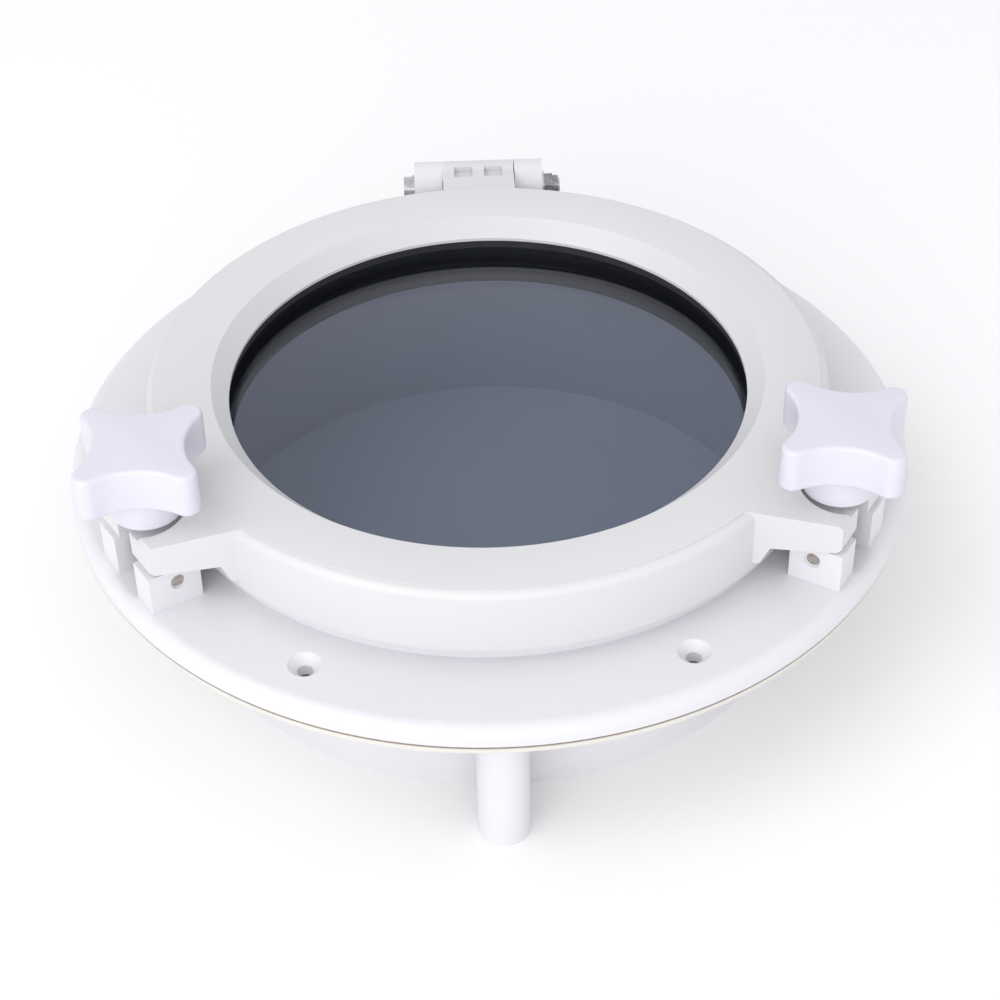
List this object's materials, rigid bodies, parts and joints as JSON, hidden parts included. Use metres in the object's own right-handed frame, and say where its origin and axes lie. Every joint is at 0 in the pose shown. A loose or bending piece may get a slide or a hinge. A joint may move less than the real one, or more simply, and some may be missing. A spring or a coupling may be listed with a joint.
{
  "type": "porthole window",
  "caption": "Round opening porthole: moulded flange and wall sleeve, hinged crowned lid with a smoked pane in black rubber, and swing bolts with lobed knobs that clamp it shut",
  "frame": {"origin": "on the porthole's axis, at the lower end of the wall sleeve", "axes": "+Z along the porthole's axis from the sleeve towards the lid, +Y towards the hinge, -Y towards the drain tube, +X to the right seen from the drain tube"},
  "size_m": [0.259, 0.259, 0.1005],
  "materials": {
    "white_plastic": "satin white moulded plastic",
    "lid_plastic": "satin white moulded plastic",
    "knob_plastic": "smooth white plastic with a faint lavender tint",
    "foam": "matte closed-cell foam",
    "black_rubber": "matte black rubber",
    "smoked_glass": "polished blue-grey tint",
    "pin_steel": "cut end of a plain pin",
    "screw_steel": "plain stainless steel",
    "nut_steel": "plain stainless steel",
    "insert_brass": "turned brass"
  },
  "bodies": {
    "frame": {"frame": "white_plastic", "wall_gasket": "foam", "left_dog_pin": "pin_steel", "right_dog_pin": "pin_steel", "hinge_screw": "screw_steel", "hinge_nut": "nut_steel", "left_hinge_washer": "screw_steel", "right_hinge_washer": "screw_steel"},
    "lid": {"lid": "lid_plastic", "glass": "smoked_glass", "glazing_seal": "black_rubber", "glazing_ring": "lid_plastic", "lid_seal": "black_rubber"},
    "left_dog": {"left_swing_bolt": "screw_steel"},
    "right_dog": {"right_swing_bolt": "screw_steel"},
    "left_slide": {"left_washer": "screw_steel"},
    "right_slide": {"right_washer": "screw_steel"},
    "left_knob": {"left_knob": "knob_plastic", "left_knob_insert": "insert_brass"},
    "right_knob": {"right_knob": "knob_plastic", "right_knob_insert": "insert_brass"}
  },
  "joints": [
    {"name": "lid_hinge", "type": "hinge", "parent": "frame", "child": "lid", "pos_m": [0, 0.1203, 0.0668], "axis": [-1, 0, 0], "range_deg": [0, 105]},
    {"name": "left_dog_swing", "type": "hinge", "parent": "frame", "child": "left_dog", "pos_m": [-0.09837, -0.06052, 0.0602], "axis": [0.524, -0.8517, 0], "range_deg": [0, 80]},
    {"name": "right_dog_swing", "type": "hinge", "parent": "frame", "child": "right_dog", "pos_m": [0.09837, -0.06052, 0.0602], "axis": [0.524, 0.8517, 0], "range_deg": [0, 80]},
    {"name": "left_knob_travel", "type": "slide", "parent": "left_dog", "child": "left_slide", "axis": [0, 0, 1], "range_m": [-0.0025, 0.008]},
    {"name": "right_knob_travel", "type": "slide", "parent": "right_dog", "child": "right_slide", "axis": [0, 0, 1], "range_m": [-0.0025, 0.008]},
    {"name": "left_knob_turn", "type": "hinge", "parent": "left_slide", "child": "left_knob", "pos_m": [-0.09837, -0.06052, 0.0602], "axis": [0, 0, 1], "range_deg": [-901, 2881]},
    {"name": "right_knob_turn", "type": "hinge", "parent": "right_slide", "child": "right_knob", "pos_m": [0.09837, -0.06052, 0.0602], "axis": [0, 0, 1], "range_deg": [-901, 2881]}
  ],
  "couplings": [
    {"joint": "left_knob_turn", "follows": "left_knob_travel", "rad_per_m": 6283.2},
    {"joint": "right_knob_turn", "follows": "right_knob_travel", "rad_per_m": 6283.2}
  ]
}
